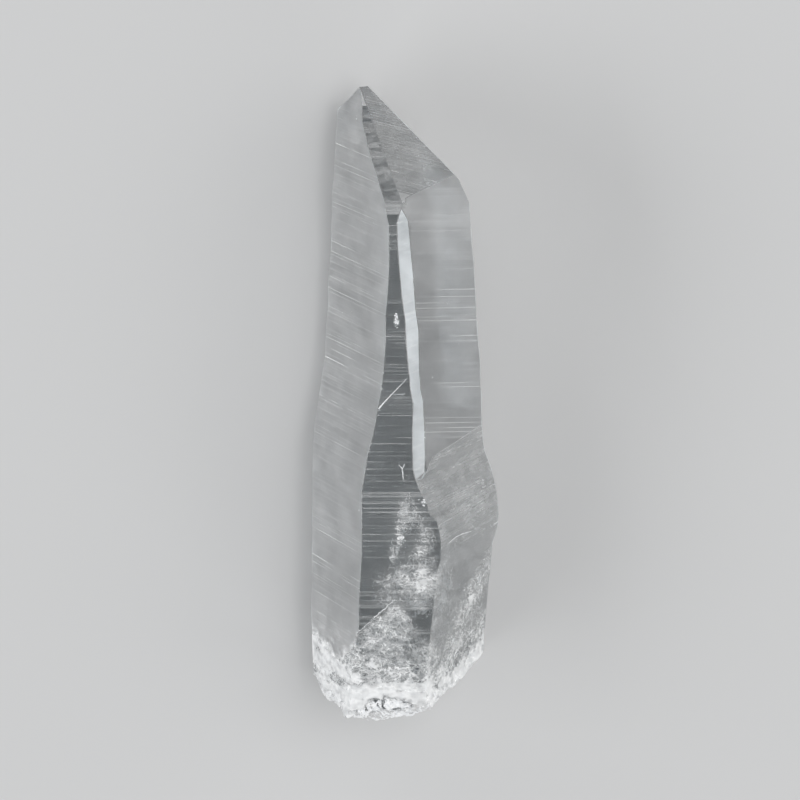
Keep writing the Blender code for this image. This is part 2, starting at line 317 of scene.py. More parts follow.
lines = Lines(-46.0, 51.0, named)
cut_rings(mesh, faces_in(mesh, *SMOOTH, EDGE), [float(p) for p in lines.rings()], lambda p: (0, p, 0), (0, 1, 0), lambda v: v.co.y)
print("rings", len(lines.y) * 2, "faces", len(mesh.faces), round(time.time() - START, 1), "s")

# The large termination face has its own lines, which fall to the right.
RHOMB_LINE = Vector((0.966, -0.1745, 0.316)).normalized()
RHOMB_ACROSS = RHOMB_LINE.cross(RAISED_RHOMB).normalized()
if RHOMB_ACROSS.y < 0:
    RHOMB_ACROSS.negate()
rhomb_faces = faces_in(mesh, RHOMB)
reach = [v.co.dot(RHOMB_ACROSS) for f in rhomb_faces for v in f.verts]
rhomb_lines = Lines(min(reach), max(reach))
rhomb_lines.strength[RHOMB] = 0.9 * rng.uniform(0.2, 1.4, len(rhomb_lines.y))
cut_rings(mesh, rhomb_faces, [float(p) for p in rhomb_lines.rings()], lambda p: RHOMB_ACROSS * p, RHOMB_ACROSS, lambda v: v.co.dot(RHOMB_ACROSS))

# The broken base and the sides just over it are cut into small triangles, for the chips.
for longest in (1.6, 1.0, 0.6, 0.36):
    near = [f for f in mesh.faces if f[layer] == BROKEN or (f[layer] != REST and min(v.co.y for v in f.verts) < -36.5 and f.calc_center_median().y < -34.0)]
    bmesh.ops.triangulate(mesh, faces=[f for f in near if len(f.verts) > 3])
    near = faces_in(mesh, BROKEN)
    inner = list({e for f in near for e in f.edges if all(g[layer] == BROKEN and len(g.verts) == 3 for g in e.link_faces)})
    bmesh.ops.beautify_fill(mesh, faces=near, edges=inner, method="ANGLE")
    near = [f for f in mesh.faces if f[layer] == BROKEN or (f[layer] != REST and f.calc_center_median().y < -34.0)]
    long_edges = list({e for f in near for e in f.edges if e.calc_length() > longest})
    bmesh.ops.subdivide_edges(mesh, edges=long_edges, cuts=1)
bmesh.ops.triangulate(mesh, faces=[f for f in mesh.faces if len(f.verts) > 3 and f.calc_center_median().y < -33.0])
for _ in range(4):  # flaps, two faces back to back on the same corners, are taken off
    same = {}
    for face in mesh.faces:
        same.setdefault(frozenset(face.verts), []).append(face)
    flaps = [f for group in same.values() if len(group) > 1 for f in group]
    if not flaps:
        break
    print("flaps", len(flaps))
    bmesh.ops.delete(mesh, geom=flaps, context="FACES_ONLY")
    bmesh.ops.delete(mesh, geom=[e for e in mesh.edges if not e.link_faces], context="EDGES")
    bmesh.ops.delete(mesh, geom=[v for v in mesh.verts if not v.link_faces], context="VERTS")
print("open edges", sum(len(e.link_faces) != 2 for e in mesh.edges))
mesh.normal_update()
print("cut", len(mesh.faces), round(time.time() - START, 1), "s")

# ------------------------------------------------------------------ how worn and how crushed each place is
mesh.verts.ensure_lookup_table()
mesh.verts.index_update()
rim = [v for v in mesh.verts if len({f[layer] == BROKEN for f in v.link_faces}) == 2]
tree = kdtree.KDTree(len(rim))
for index, vert in enumerate(rim):
    tree.insert(vert.co, index)
tree.balance()


def crush_at(point):
    """From 1 on the broken rim to 0 a few millimetres up the sides, further up on the right, with a ragged end."""
    away = tree.find(point)[2]
    right = float(smooth(2.0, 9.0, point.x))
    left = float(smooth(-5.0, -9.0, point.x))
    reach = 1.7 + 1.6 * right - 0.9 * left + 2.4 * (hum(point.x * 0.33, point.z * 0.33, 3.3) - 0.4)
    ragged = 0.5 * (hum(point.x * 1.4, point.y * 1.4, point.z * 1.4) - 0.5) + 0.35 * (hum(point.x * 4.1, point.y * 4.1, point.z * 4.1) - 0.5)
    return max(0.0, min(1.0, 1.17 - 0.82 * away / max(0.7, reach) + ragged))


LARGE_BOWL, SMALL_BOWL = 6.5, 3.1
LARGE_SHIFT, SMALL_SHIFT = Vector((3.0, 9.0, 0.0)), Vector((0.0, 2.0, 0.0))


def on_break(x, z):
    """Where a point of the broken end lies in the pattern of its bowls."""
    return Vector((x + 0.5 * hum(x * 0.5, 1.0, z * 0.5), 0.0, z))


def bowl_rim(x, z):
    """1 on the ridges between the bowls of the broken end, 0 in their middles."""
    flat = on_break(x, z)
    large = noise.voronoi((flat + LARGE_SHIFT) / LARGE_BOWL)[0][0]
    small = noise.voronoi((flat + SMALL_SHIFT) / SMALL_BOWL)[0][0]
    return max(float(smooth(0.42, 0.7, large)), 0.5 * float(smooth(0.4, 0.7, small)))


crush = np.zeros(len(mesh.verts))
rim_away = np.array([tree.find(v.co)[2] if v.co.y < -31.0 else 99.0 for v in mesh.verts])
for vert in mesh.verts:
    if any(f[layer] == BROKEN for f in vert.link_faces):
        inside = float(smooth(0.6, 3.4, rim_away[vert.index]))
        crush[vert.index] = 1.1 - inside * (0.9 - 0.52 * bowl_rim(vert.co.x, vert.co.z))
    elif vert.co.y < -31.0:
        crush[vert.index] = crush_at(vert.co)


def pixel_of(points):
    """Where points are seen in the 800 x 800 view."""
    d = points - np.array(EYE)
    deep = -(d @ np.array(VIEW_BACK))
    scale = CAMERA_AWAY * PIXELS_PER_MM / deep
    return 400 + d[:, 0] * scale, 400 - (d @ np.array(VIEW_UP)) * scale


def blob(u, v, at, size, turn=0.0):
    c, s = math.cos(math.radians(turn)), math.sin(math.radians(turn))
    a = ((u - at[0]) * c + (v - at[1]) * s) / size[0]
    b = (-(u - at[0]) * s + (v - at[1]) * c) / size[1]
    return np.exp(-(a * a + b * b))


def cloudiness(u, v):
    """How full of veils the crystal is at each place of the view, from 0 to 1."""
    edge = np.interp(u, (330, 350, 357, 396, 405, 432, 446, 470, 490), (655, 641, 633, 600, 607, 646, 655, 628, 600))
    base = smooth(-1, 7, v - edge) * (0.5 + 0.4 * smooth(645, 705, v))
    base = base * (1 - 0.55 * blob(u, v, (421, 632), (13, 30)))
    column = 0.34 * blob(u, v, (404, 512), (6, 24), 8) + 0.36 * blob(u, v, (396, 545), (6, 26), 12) + 0.26 * blob(u, v, (416, 520), (5, 14))
    cloud = 0.78 * blob(u, v, (419, 580), (18, 21)) + 0.34 * blob(u, v, (424, 542), (10, 20)) + 0.35 * blob(u, v, (388, 585), (14, 18))
    flank = 0.6 * blob(u, v, (474, 592), (7, 34), 24) + 0.42 * blob(u, v, (461, 655), (16, 24), 30) + 0.12 * smooth(540, 620, v) * smooth(426, 440, u)
    return np.clip(np.maximum.reduce([base, column, cloud, flank]), 0, 1)


# The cloud in the crystal also reaches the surface as fine haze, most over the broken base.
starts = np.array([v.co[:] for v in mesh.verts])
mesh.normal_update()
facing = smooth(0.02, 0.2, np.array([v.normal.dot(VIEW_BACK) for v in mesh.verts]))
haze = cloudiness(*pixel_of(starts)) * facing
haze = np.maximum(haze, 0.7 * smooth(-26.0, -44.0, starts[:, 1]))
haze[[v.index for v in mesh.verts if all(f[layer] == BROKEN for f in v.link_faces)]] *= 0.25


def base_share(points):
    """How far each point is into the broken, veiled base, from 0 to 1."""
    u, v = pixel_of(points)
    edge = np.interp(u, (330, 350, 357, 396, 405, 432, 446, 470, 490), (668, 650, 636, 603, 622, 650, 655, 630, 600))
    front = np.maximum(smooth(-3, 9, v - edge), 0.6 * smooth(500, 600, v) * smooth(426, 440, u))
    return np.maximum(front * facing, smooth(-35.0, -41.0, points[:, 1]))


base = base_share(starts)
RIDGE_FALL = {BEVEL: -0.55}


def grain_of(region, point, normal):
    """Coordinates along a face's lines, across them, and a third that sets the faces apart."""
    if region == RHOMB:
        return point.dot(RHOMB_LINE), point.dot(RHOMB_ACROSS), 40.0
    if region in (BROKEN, EDGE):
        return point.x, point.y, point.z
    along = point.x * normal.z - point.z * normal.x
    return along, point.y + RIDGE_FALL.get(region, 0.0) * along, 7.3 * region


def facets(point, size, slope):
    """Height of a surface broken into cells of this size, each a plane with its own level and tilt; never below nought."""
    near = noise.voronoi(point / size)[1][0]
    turn = [2.0 * noise.cell(near * 7.3 + Vector((k * 11.7, 0.0, k * 3.1))) - 1.0 for k in range(3)]
    off = point / size - near
    return size * max(0.0, 0.22 + 0.2 * turn[0] + slope * (turn[1] * (off.x + off.y) + turn[2] * (off.z - off.y)))


def scoops(point, size, depth):
    """Shallow bowls side by side with crisp ridges between them, as glassy stone breaks."""
    away = noise.voronoi(point / size)[0][0]
    return depth * max(0.0, 1.0 - 1.5 * away * away)


def settle(mesh):
    """Moves each vertex in by its faces' depths, keeping edges where the faces meet."""
    verts = list(mesh.verts)
    groups = []
    broken_verts = []
    for index, vert in enumerate(verts):
        found = []
        is_broken = False
        for face in vert.link_faces:
            region = face[layer]
            if region == BROKEN:
                is_broken = True
                continue
            if region == EDGE:
                continue
            normal = face.normal
            for entry in found:
                if entry[0].dot(normal) > 0.985 and (entry[1] == region or entry[0].dot(normal) > 0.999):
                    break
            else:
                found.append([normal.copy(), region])
        if is_broken:
            broken_verts.append(vert)
            continue
        for normal, region in found:
            groups.append((index, normal.x, normal.y, normal.z, region))
    table = np.array(groups)
    place = np.array([v.co[:] for v in verts])
    index = table[:, 0].astype(int)
    normal = table[:, 1:4]
    region = table[:, 4].astype(int)
    point = place[index]
    across = point[:, 0] * normal[:, 2] - point[:, 2] * normal[:, 0]
    depth = np.zeros(len(table))
    for which in SMOOTH:
        here = region == which
        if here.any():
            depth[here] = lines.depth(which, point[here, 1], across[here])
    here = region == RHOMB
    if here.any():
        depth[here] = rhomb_lines.depth(RHOMB, point[here] @ np.array(RHOMB_ACROSS), point[here] @ np.array(RHOMB_LINE))
    # the lines die out just above the broken base, where small chips take over
    depth *= np.clip((point[:, 1] + 45.0) / 3.0, 0, 1)
    for row in np.flatnonzero(crush[index] > 0.02):
        p = Vector(point[row])
        depth[row] += crush[index[row]] * (0.24 * facets(p, 2.3, 0.4) + 0.05 * facets(p * 1.01, 0.9, 0.4))
    order = np.argsort(index, kind="stable")
    start = 0
    index_sorted = index[order]
    move = np.zeros_like(place)
    while start < len(order):
        stop = start
        while stop < len(order) and index_sorted[stop] == index_sorted[start]:
            stop += 1
        rows = order[start:stop]
        n, h = normal[rows], depth[rows]
        if len(rows) == 1:
            shift = -h[0] * n[0]
        else:
            gram = n @ n.T + 0.02 * np.eye(len(rows))
            shift = -n.T @ np.linalg.solve(gram, h)
        length = float(np.linalg.norm(shift))
        if length > 0.36:
            shift *= 0.36 / length
        move[index_sorted[start]] = shift
        start = stop
    for i, vert in enumerate(verts):
        vert.co += Vector(move[i])
    on_base = {v.index for v in broken_verts}
    for i, vert in enumerate(verts):  # the sides' points near the rim follow the broken surface up, so nothing folds
        share = 1.0 if i in on_base else float(smooth(4.0, 0.0, rim_away[i]))
        if share > 0:
            x, z = place[i][0], place[i][2]
            inner = float(smooth(0.2, 3.2, rim_away[i])) if i in on_base else 0.0
            flat = on_break(x, z)
            chips = scoops(flat, 1.7, 0.3) + scoops(flat + Vector((0, 4.0, 0)), 0.9, 0.06) + 0.2 * facets(flat, 2.6, 0.4) + 0.03 * hum(x * 4.3, 6.0, z * 4.3)
            chips += inner * (scoops(flat + LARGE_SHIFT, LARGE_BOWL, 1.7) + scoops(flat + SMALL_SHIFT, SMALL_BOWL, 0.6))
            vert.co.y += share * (0.05 + chips)
    mesh.normal_update()


# ------------------------------------------------------------------ what the material reads from each face
FROST = {SATIN: 0.46, CLEAR: 0.02, BEVEL: 0.88, RHOMB: 0.42, RAISED: 0.47, LOWER: 0.37, BACK: 0.2, BROKEN: 0.3, BAND: 0.12, REST: 0.03, EDGE: 0.4}
LINEWORK = {SATIN: 0.31, CLEAR: 0.75, BEVEL: 0.6, RHOMB: 0.3, RAISED: 0.32, LOWER: 0.24, BACK: 0.4, BROKEN: 0.0, BAND: 0.3, REST: 0.08, EDGE: 0.3}
# how strongly each face's risers are made frostier and whiter: partly frost, partly a painted glint of the risers
# catching the light
RIDGES = {SATIN: 0.34, CLEAR: 0.5, BEVEL: 0.0, RHOMB: 0.38, RAISED: 0.3, LOWER: 0.12, BACK: 0.4, BROKEN: 0.0, BAND: 0.4, REST: 0.1, EDGE: 0.0}
TONE = {SATIN: 0.8, CLEAR: 0.98, BEVEL: 0.87, RHOMB: 0.7, RAISED: 0.68, LOWER: 0.87, BACK: 0.93, BROKEN: 0.97, BAND: 0.75, REST: 0.98, EDGE: 0.72}
PATCHY = {BAND: 0.7, SATIN: 0.04, RHOMB: 0.08, LOWER: 0.25}


def line_share(region, along):
    """Lines run strongest from the crystal's outer edges and fade towards its middle."""
    if region == SATIN:
        return 1.45 - 0.95 * float(smooth(-2.0, 13.0, along))
    if region == RAISED:
        return 0.5 + 0.6 * float(smooth(2.0, 10.5, along))
    return 1.0


frost_layer = mesh.faces.layers.float.new("frost")
work_layer = mesh.faces.layers.float.new("linework")
tone_layer = mesh.faces.layers.float.new("tone")
patchy_layer = mesh.faces.layers.float.new("patchy")
streak_layer = mesh.faces.layers.float.new("streak")
grain_layer = mesh.loops.layers.float_vector.new("grain")
rows = []
for face in mesh.faces:
    region = face[layer]
    centre = face.calc_center_median()
    normal = face.normal
    frost = FROST[region]
    along = centre.x * normal.z - centre.z * normal.x
    if region == CLEAR and 34.9 < centre.y < 36.6:
        frost = 0.4  # a lighter strip where the front face starts under the termination
    if region == BAND and centre.y > BAND_TOP:
        frost = 0.6
    if region == RHOMB and (centre - corner[0]).dot(corner_normal) > 0 and centre.x < corner[1].x:
        frost = 0.8  # a small light triangle in the corner between the termination, the band and the raised face
    face[frost_layer] = frost
    tone = TONE[region]
    if frost == 0.8:
        frost, tone = 0.66, 0.7
    if region == BACK and normal.x > 0.5 and normal.z < -0.05:  # the undercut right side is the most matt
        frost, tone = 0.66, 0.8
    if region == BEVEL:  # painted highlight: the bevel's colour is lighter under the termination, darker towards the base
        tone -= 0.15 * float(smooth(24.0, -6.0, centre.y))
    if region == EDGE:  # painted highlight: the crystal's outline, where its edges turn away from the view, is painted lighter and frostier, its inner edges only a little
        outer = float(smooth(0.86, 0.55, normal.dot(VIEW_BACK)))
        tone += 0.28 * outer
        frost += 0.48 * outer
    face[frost_layer] = frost
    face[tone_layer] = tone
    face[patchy_layer] = PATCHY.get(region, 0.0)
    face[work_layer] = LINEWORK[region] * line_share(region, along)
    rows.append((region, centre.y, along, centre.dot(RHOMB_ACROSS), centre.dot(RHOMB_LINE)))
    for loop in face.loops:
        loop[grain_layer] = Vector(grain_of(region, loop.vert.co, normal))
rows = np.array(rows)
# the risers are made frostier and whiter: partly frost, partly a painted glint of the risers catching the light
streak = np.zeros(len(rows))
for which in SMOOTH:
    here = rows[:, 0] == which
    streak[here] = lines.riser(which, rows[here, 1], rows[here, 2])
here = rows[:, 0] == RHOMB
streak[here] = rhomb_lines.riser(RHOMB, rows[here, 3], rows[here, 4])
for face, value in zip(mesh.faces, streak):
    face[streak_layer] = RIDGES[face[layer]] * float(value) * line_share(face[layer], face.calc_center_median().x * face.normal.z - face.calc_center_median().z * face.normal.x)

settle(mesh)
print("settled", len(mesh.verts), "verts", round(time.time() - START, 1), "s")

for face in mesh.faces:
    face.smooth = True
for edge in mesh.edges:  # the lower right side is softly folded and the break is made of bowls, everything else has clear edges
    kinds = {f[layer] for f in edge.link_faces}
    soft = 42 if kinds <= {LOWER, EDGE} and edge.verts[0].co.x > 2 else 24 if kinds == {BROKEN} else 16
    edge.smooth = edge.calc_face_angle(0) < math.radians(soft)

bmesh.ops.transform(mesh, matrix=Matrix.Scale(MM, 4) @ Matrix.Translation((0, SHIFT_Y, 0)), verts=mesh.verts)
data = bpy.data.meshes.new("quartz_crystal")
mesh.to_mesh(data)
mesh.free()
crush_attribute = data.attributes.new("crush", "FLOAT", "POINT")
crush_attribute.data.foreach_set("value", crush.astype(np.float32))
haze_attribute = data.attributes.new("haze", "FLOAT", "POINT")
haze_attribute.data.foreach_set("value", haze.astype(np.float32))
base_attribute = data.attributes.new("base", "FLOAT", "POINT")
base_attribute.data.foreach_set("value", base.astype(np.float32))
crystal = bpy.data.objects.new("quartz_crystal", data)
bpy.context.scene.collection.objects.link(crystal)
data.calc_loop_triangles()
print("crystal triangles", len(data.loop_triangles))
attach(crystal, "root")
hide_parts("crystal")


# ------------------------------------------------------------------ materials
class Nodes:
    """A material's node tree, with short calls for the nodes used here."""

    def __init__(self, name):
        self.material = bpy.data.materials.new(name)
        self.material.use_nodes = True
        self.tree = self.material.node_tree
        self.shader = self.tree.nodes["Principled BSDF"]
        self.output = self.tree.nodes["Material Output"]

    def put(self, socket, value):
        if isinstance(value, bpy.types.NodeSocket):
            self.tree.links.new(value, socket)
        else:
            socket.default_value = value

    def attribute(self, name, output="Fac"):
        node = self.tree.nodes.new("ShaderNodeAttribute")
        node.attribute_name = name
        return node.outputs[output]

    def place(self):
        """The piece's own coordinates in millimetres."""
        return self.scaled(self.tree.nodes.new("ShaderNodeTexCoord").outputs["Object"], (1000.0, 1000.0, 1000.0))

    def scaled(self, vector, scale):
        node = self.tree.nodes.new("ShaderNodeVectorMath")
        node.operation = "MULTIPLY"
        self.put(node.inputs[0], vector)
        node.inputs[1].default_value = scale
        return node.outputs[0]

    def noise(self, vector, scale, detail=2.0, roughness=0.55, lacunarity=2.0, distortion=0.0):
        node = self.tree.nodes.new("ShaderNodeTexNoise")
        self.put(node.inputs["Vector"], vector)
        for name, value in (("Scale", scale), ("Detail", detail), ("Roughness", roughness), ("Lacunarity", lacunarity), ("Distortion", distortion)):
            node.inputs[name].default_value = value
        return node.outputs["Fac"]

    def math(self, operation, a, b=0.0, c=0.0, clamp=False):
        node = self.tree.nodes.new("ShaderNodeMath")
        node.operation = operation
        node.use_clamp = clamp
        for socket, value in zip(node.inputs, (a, b, c)):
            self.put(socket, value)
        return node.outputs[0]

    def spread(self, value, low, high, bottom=0.0, top=1.0):
        node = self.tree.nodes.new("ShaderNodeMapRange")
        node.interpolation_type = "SMOOTHSTEP"
        for name, number in (("Value", value), ("From Min", low), ("From Max", high), ("To Min", bottom), ("To Max", top)):
            self.put(node.inputs[name], number)
        return node.outputs["Result"]

    def blend(self, factor, a, b):
        node = self.tree.nodes.new("ShaderNodeMix")
        node.data_type = "RGBA"
        self.put(node.inputs[0], factor)
        self.put(node.inputs[6], a)
        self.put(node.inputs[7], b)
        return node.outputs[2]

    def bump(self, height, strength, distance):
        node = self.tree.nodes.new("ShaderNodeBump")
        self.put(node.inputs["Height"], height)
        self.put(node.inputs["Strength"], strength)
        node.inputs["Distance"].default_value = distance
        return node.outputs["Normal"]


def quartz_material():
    n = Nodes("quartz")
    add = lambda a, b, clamp=False: n.math("ADD", a, b, clamp=clamp)
    times = lambda a, b: n.math("MULTIPLY", a, b)
    place = n.place()
    grain = n.attribute("grain", "Vector")
    frost, work, streak, crush_share, haze, tone, patchy, base = (
        n.attribute(name) for name in ("frost", "linework", "streak", "crush", "haze", "tone", "patchy", "base")
    )
    above = n.math("SUBTRACT", 1.0, base)
    # growth lines: wide faint bands, and thin lines in groups
    broad = n.noise(n.scaled(grain, (0.06, 1.5, 1.0)), 1.0, 2.0, 0.6)
    fine = n.noise(n.scaled(grain, (0.032, 4.8, 1.0)), 1.0, 2.0, 0.75)
    groups = n.spread(n.noise(n.scaled(grain, (0.04, 0.22, 1.0)), 1.0, 1.0), 0.4, 0.6, 0.12, 1.0)
    lines = add(times(n.spread(broad, 0.5, 0.8), 0.3), times(n.spread(fine, 0.5, 0.7), 0.8))
    lines = times(times(lines, groups), work)
    # the risers' streak adds frost and whiteness to the lines: partly frost, partly a painted glint
    lines = times(add(lines, streak, clamp=True), add(0.12, times(above, 0.88)))
    mottle = n.noise(place, 0.28, 3.0, 0.6)
    speck = n.noise(place, 7.5, 2.0, 0.7)
    blotch = n.spread(n.noise(n.scaled(grain, (0.45, 1.3, 1.0)), 1.0, 4.0, 0.7), 0.38, 0.66)
    # veils that reach the surface: curls and wisps over the base, leaning up to the right
    lean = n.tree.nodes.new("ShaderNodeMapping")
    n.put(lean.inputs["Vector"], place)
    lean.inputs["Rotation"].default_value = (0.0, 0.0, math.radians(38.0))
    lean.inputs["Scale"].default_value = (0.6, 1.15, 1.0)
    ridge = lambda value: n.math("ABSOLUTE", n.math("SUBTRACT", value, 0.5))
    swirl = ridge(n.noise(lean.outputs[0], 0.55, 3.0, 0.62, 2.2, 1.2))
    curls = ridge(n.noise(place, 1.15, 2.0, 0.55, 2.1, 1.8))
    wisps = n.math("MAXIMUM", n.spread(swirl, add(0.0005, times(haze, 0.06)), 0.0), times(n.spread(curls, add(0.0005, times(haze, 0.05)), 0.0), n.spread(haze, 0.25, 0.75, 0.15, 0.8)))
    drift = n.noise(lean.outputs[0], 1.0, 3.0, 0.5)
    lumps = n.noise(place, 0.42, 2.0, 0.6)
    patches = n.spread(lumps, 0.36, 0.6, 0.42, 1.0)
    wisps = times(wisps, n.spread(haze, 0.0, 0.4))
    wisps = times(add(times(wisps, 0.85), times(times(haze, n.spread(drift, 0.36, 0.66, 0.3, 1.0)), 0.62)), patches)
    solid_share = times(frost, times(add(0.42, times(mottle, 0.5)), add(0.15, times(above, 0.85))))
    solid_share = add(solid_share, add(times(lines, 0.42), times(times(patchy, blotch), 0.34)))
    solid_share = add(solid_share, wisps, clamp=True)
    uneven = add(times(n.math("SUBTRACT", drift, 0.5), 0.8), times(n.math("SUBTRACT", lumps, 0.5), 1.0))
    crushed = n.spread(add(crush_share, uneven), 0.2, 0.95)
    solid_share = n.math("MAXIMUM", solid_share, times(crushed, n.spread(drift, 0.3, 0.66, 0.6, 0.92)))
    n.put(n.shader.inputs["Transmission Weight"], n.math("SUBTRACT", 1.0, solid_share))
    rough = n.math("MAXIMUM", solid_share, times(times(frost, 0.85), add(0.25, times(above, 0.75))))
    n.put(n.shader.inputs["Roughness"], n.spread(rough, 0.03, 0.6, 0.02, 0.42))
    white = n.math("MAXIMUM", n.math("MAXIMUM", lines, crushed), n.math("MINIMUM", add(wisps, base), 1.0))
    grey = n.tree.nodes.new("ShaderNodeCombineColor")
    shade = times(tone, add(0.8, times(mottle, 0.4)))
    # painted reflection tint: the most frosted places, the bevel and the painted outline highlight, are tinted a little
    # blue
    cool = n.spread(frost, 0.75, 0.85)
    for socket, factor in zip(grey.inputs, (0.055, 0.012, -0.01)):
        n.put(socket, times(shade, n.math("SUBTRACT", 1.0, times(cool, factor))))
    tint = n.blend(n.spread(n.noise(place, 1.4, 2.0, 0.5), 0.36, 0.62), (0.88, 0.89, 0.895, 1.0), (0.985, 0.99, 0.99, 1.0))
    n.put(n.shader.inputs["Base Color"], n.blend(white, grey.outputs[0], tint))
    n.put(n.shader.inputs["Normal"], n.bump(add(lines, times(times(speck, crushed), 0.2)), 0.35, 0.00006))
    n.shader.inputs["IOR"].default_value = 1.544
    absorb = n.tree.nodes.new("ShaderNodeVolumeAbsorption")
    absorb.inputs["Color"].default_value = (0.825, 0.845, 0.855, 1.0)
    absorb.inputs["Density"].default_value = 96.0
    n.tree.links.new(absorb.outputs["Volume"], n.output.inputs["Volume"])
    return n.material


data.materials.append(quartz_material())


def inclusion_material():
    """Healed cracks: thin white films and flakes, cloudier in places."""
    n = Nodes("quartz_veil")
    place = n.place()
    cloud = n.noise(place, 2.6, 3.0, 0.65)
    grit = n.noise(place, 11.0, 2.0, 0.6)
    n.put(n.shader.inputs["Base Color"], n.blend(n.spread(cloud, 0.35, 0.65), (0.93, 0.95, 0.97, 1.0), (1.0, 1.0, 1.0, 1.0)))
    n.put(n.shader.inputs["Roughness"], n.spread(grit, 0.3, 0.7, 0.2, 0.5))
    n.put(n.shader.inputs["Transmission Weight"], n.spread(cloud, 0.35, 0.65, 0.2, 0.0))
    n.put(n.shader.inputs["Normal"], n.bump(grit, 0.4, 0.00003))
    n.shader.inputs["IOR"].default_value = 1.35
    return n.material


# ------------------------------------------------------------------ what is sealed in the crystal
veil_material = inclusion_material()
triangles_made = {}


def add_piece(name, verts, faces):
    """A piece inside the crystal, from points in millimetres in the growth frame."""
    points = (np.asarray(verts, float) + np.array([0.0, SHIFT_Y, 0.0])) * MM
    data = bpy.data.meshes.new(name)
    data.from_pydata(points.tolist(), [], faces)
    data.validate()
    obj = bpy.data.objects.new(name, data)
    bpy.context.scene.collection.objects.link(obj)
    data.materials.append(veil_material)
    data.calc_loop_triangles()
    triangles_made[name] = len(data.loop_triangles)
    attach(obj, "root")
    return obj


def lattice(x, y, z, seed):
    """A value from 0 to 1 for each whole-numbered place, the same each run."""
    mask = np.int64(0xFFFFFFFF)
    h = (x * 374761393 + y * 668265263 + z * 1440662683 + seed * 974634777) & mask
    h = ((h ^ (h >> 13)) * 1274126177) & mask
    h = ((h ^ (h >> 15)) * 1103515245) & mask
    return ((h ^ (h >> 16)) & mask) / float(0xFFFFFFFF)


def field(points, scale, seed, octaves=1):
    """Smooth noise from 0 to 1 at many points."""
    total, weight = np.zeros(len(points)), 0.0
    for octave in range(octaves):
        p = points * (scale * 2.0**octave) + 17.31 * octave
        whole = np.floor(p).astype(np.int64)
        t = p - whole
        t = t * t * (3 - 2 * t)
        value = np.zeros(len(points))
        for corner_index in range(8):
            step = np.array([corner_index & 1, corner_index >> 1 & 1, corner_index >> 2 & 1])
            share = np.prod(np.where(step == 1, t, 1 - t), axis=1)
            place = whole + step
            value += share * lattice(place[:, 0], place[:, 1], place[:, 2], seed + 31 * octave)
        total += value * 0.55**octave
        weight += 0.55**octave
    return total / weight


# The crystal's own top and underside over a grid, so that the veils stay inside.
GRID = 0.25
grid_x = np.arange(-15.0, 15.01, GRID)
grid_y = np.arange(-48.0, 6.01, GRID)
top_map = np.full((len(grid_y), len(grid_x)), -1.0)
under_map = np.full_like(top_map, 99.0)
for row, y in enumerate(grid_y):
    for column, x in enumerate(grid_x):
        hit = solid.ray_cast(Vector((x, y, 40.0)), Vector((0, 0, -1)))[0]
        if hit is not None:
            top_map[row, column] = hit.z
            under_map[row, column] = solid.ray_cast(Vector((x, y, -10.0)), Vector((0, 0, 1)))[0].z


def height(table, x, y):
    i = np.clip((y - grid_y[0]) / GRID, 0, len(grid_y) - 1.001)
    j = np.clip((x - grid_x[0]) / GRID, 0, len(grid_x) - 1.001)
    i0, j0 = i.astype(int), j.astype(int)
    a, b = i - i0, j - j0
    return (table[i0, j0] * (1 - a) + table[i0 + 1, j0] * a) * (1 - b) + (table[i0, j0 + 1] * (1 - a) + table[i0 + 1, j0 + 1] * a) * b


def veil(seed, depth, tilt, power, cell=0.12, crumple=1.1, reach=(-10.5, 13.6, -46.5, -8.0)):
    """One crumpled sheet of healed cracks under the front of the crystal, torn to films and threads."""
    xs = np.arange(reach[0], reach[1], cell)
    ys = np.arange(reach[2], reach[3], cell)
    gx, gy = np.meshgrid(xs, ys)
    flat = np.stack([gx.ravel(), gy.ravel(), np.zeros(gx.size)], 1)
    fold = field(flat, 0.34, seed, 3) - 0.5
    fine = field(flat, 2.1, seed + 5, 2) - 0.5
    top, under = height(top_map, flat[:, 0], flat[:, 1]), height(under_map, flat[:, 0], flat[:, 1])
    down = depth + tilt[0] * (flat[:, 0] - 1) + tilt[1] * (flat[:, 1] + 30) + crumple * 3.4 * fold + 0.5 * fine
    flat[:, 2] = top - np.abs(down) - 0.3
    flat[:, 0] += 0.5 * (field(flat, 0.9, seed + 9, 2) - 0.5)
    inside = (top > 0) & (flat[:, 2] > under + 0.45) & (flat[:, 2] < top - 0.28)
    u, v = pixel_of(flat)
    clump = smooth(0.36, 0.62, field(flat, 0.3, seed + 7, 2))
    dense = cloudiness(u, v) * power * (0.3 + 0.85 * clump)
    swirl = np.stack([field(flat, 0.42, seed + 11, 2) - 0.5, field(flat, 0.42, seed + 12, 2) - 0.5, np.zeros(len(flat))], 1)
    turned = (flat + 3.4 * swirl) @ np.array([[0.82, -0.57, 0.0], [0.57, 0.82, 0.0], [0.0, 0.0, 1.0]]) * np.array([1.0, 0.36, 1.0])
    threads = np.abs(field(turned, 0.6, seed + 2, 3) - 0.5)
    hair = np.abs(field(turned, 1.3, seed + 3, 2) - 0.5)
    patch = field(turned + 2.0 * swirl, 0.7, seed + 4, 3)
    keep = (threads < 0.06 * dense) | (hair < 0.05 * dense * dense) | (patch > 1.02 - 0.46 * dense)
    keep &= inside & (dense > 0.07)
    keep = keep.reshape(gx.shape)
    within = inside.reshape(gx.shape)
    z = flat[:, 2].reshape(gx.shape)
    gentle = (np.abs(np.diff(z, axis=1))[:-1] < 1.5 * cell) & (np.abs(np.diff(z, axis=0))[:, :-1] < 1.5 * cell)
    cells = keep[:-1, :-1] & within[1:, :-1] & within[:-1, 1:] & within[1:, 1:] & gentle
    return thicken(flat.reshape(gx.shape + (3,)), cells, 0.035)


